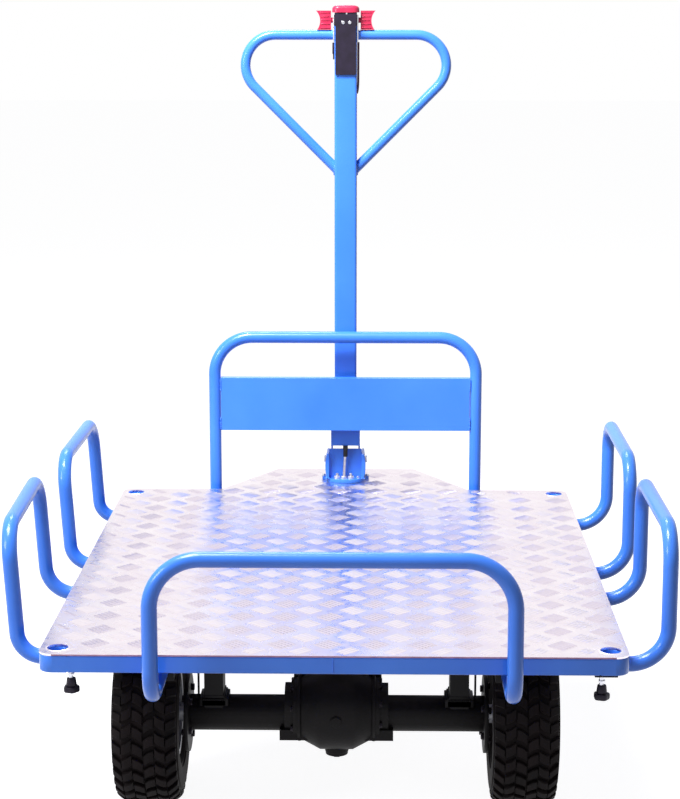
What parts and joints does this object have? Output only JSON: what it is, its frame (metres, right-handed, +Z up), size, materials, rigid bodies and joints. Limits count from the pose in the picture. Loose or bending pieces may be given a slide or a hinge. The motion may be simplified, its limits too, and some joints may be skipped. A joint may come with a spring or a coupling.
{
  "type": "electric platform truck",
  "caption": "Electric platform truck with a tread plate deck, bent tube hoops, a driven rear axle and a steered tiller at the front.",
  "frame": {"origin": "on the floor, under the middle of the truck's length and width", "axes": "+X to the right as seen from behind, +Y forward to the tiller, +Z up"},
  "size_m": [1.1836, 1.5456, 1.454],
  "materials": {
    "blue_paint": "gloss powder coat on welded steel",
    "tread_plate": "bright five-bar tread plate",
    "black_paint": "satin black paint",
    "cast_casing": "black painted rough casting",
    "motor_enamel": "black enamel",
    "cast_aluminium": "matt die casting",
    "zinc_steel": "bright zinc plate",
    "rim_paint": "silver paint",
    "tyre_rubber": "matt black rubber",
    "black_rubber": "matt black rubber",
    "black_plastic": "moulded, fine grain",
    "red_plastic": "glossy moulded red",
    "cable_sheath": "dark red sheath"
  },
  "bodies": {
    "chassis": {"deck_plate": "tread_plate", "side_rails": "blue_paint", "end_rails": "blue_paint", "cross_members": "blue_paint", "chassis_beams": "blue_paint", "left_rear_hoop": "blue_paint", "left_front_hoop": "blue_paint", "right_rear_hoop": "blue_paint", "right_front_hoop": "blue_paint", "rear_hoop": "blue_paint", "front_hoop": "blue_paint", "front_panel": "blue_paint", "hoop_saddles": "black_paint", "hoop_knobs": "black_plastic", "knob_studs": "zinc_steel", "tongue": "blue_paint", "tongue_tread": "tread_plate", "axle_housing": "cast_casing", "rear_spindles": "zinc_steel", "drive_motor": "motor_enamel", "brake_plates": "black_paint", "axle_posts": "black_paint", "brake_rods": "zinc_steel", "battery_box": "black_paint", "battery_straps": "blue_paint", "controller_box": "cast_aluminium"},
    "steering": {"kingpin": "zinc_steel", "thrust_ring": "zinc_steel", "axle_carrier": "black_paint", "front_axle": "zinc_steel", "base_disc": "blue_paint", "tiller_fork": "blue_paint", "pivot_pin": "zinc_steel", "tiller_stop": "black_rubber", "stop_rod": "zinc_steel"},
    "tiller": {"tiller_column": "blue_paint", "handle_loop": "blue_paint", "handle_ears": "zinc_steel", "control_head": "black_plastic", "stop_button": "red_plastic", "throttle_wings": "red_plastic", "control_cable": "cable_sheath"},
    "rear_left_wheel": {"rear_left_tyre": "tyre_rubber", "rear_left_rim": "rim_paint"},
    "rear_right_wheel": {"rear_right_tyre": "tyre_rubber", "rear_right_rim": "rim_paint"},
    "front_left_wheel": {"front_left_tyre": "tyre_rubber", "front_left_rim": "rim_paint"},
    "front_right_wheel": {"front_right_tyre": "tyre_rubber", "front_right_rim": "rim_paint"}
  },
  "joints": [
    {"name": "steering", "type": "hinge", "parent": "chassis", "child": "steering", "pos_m": [0, 0.60575, 0.375], "axis": [0, 0, 1], "range_deg": [-50, 50]},
    {"name": "tiller_tilt", "type": "hinge", "parent": "steering", "child": "tiller", "pos_m": [0, 0.60575, 0.425], "axis": [-1, 0, 0], "range_deg": [0, 75], "stiffness_Nm_per_rad": 40, "springref_deg": -17.19},
    {"name": "rear_left_wheel_spin", "type": "hinge", "parent": "chassis", "child": "rear_left_wheel", "pos_m": [-0.341, -0.39925, 0.167], "axis": [1, 0, 0], "continuous": true},
    {"name": "rear_right_wheel_spin", "type": "hinge", "parent": "chassis", "child": "rear_right_wheel", "pos_m": [0.341, -0.39925, 0.167], "axis": [1, 0, 0], "continuous": true},
    {"name": "front_left_wheel_spin", "type": "hinge", "parent": "steering", "child": "front_left_wheel", "pos_m": [-0.15, 0.60575, 0.167], "axis": [1, 0, 0], "continuous": true},
    {"name": "front_right_wheel_spin", "type": "hinge", "parent": "steering", "child": "front_right_wheel", "pos_m": [0.15, 0.60575, 0.167], "axis": [1, 0, 0], "continuous": true}
  ]
}
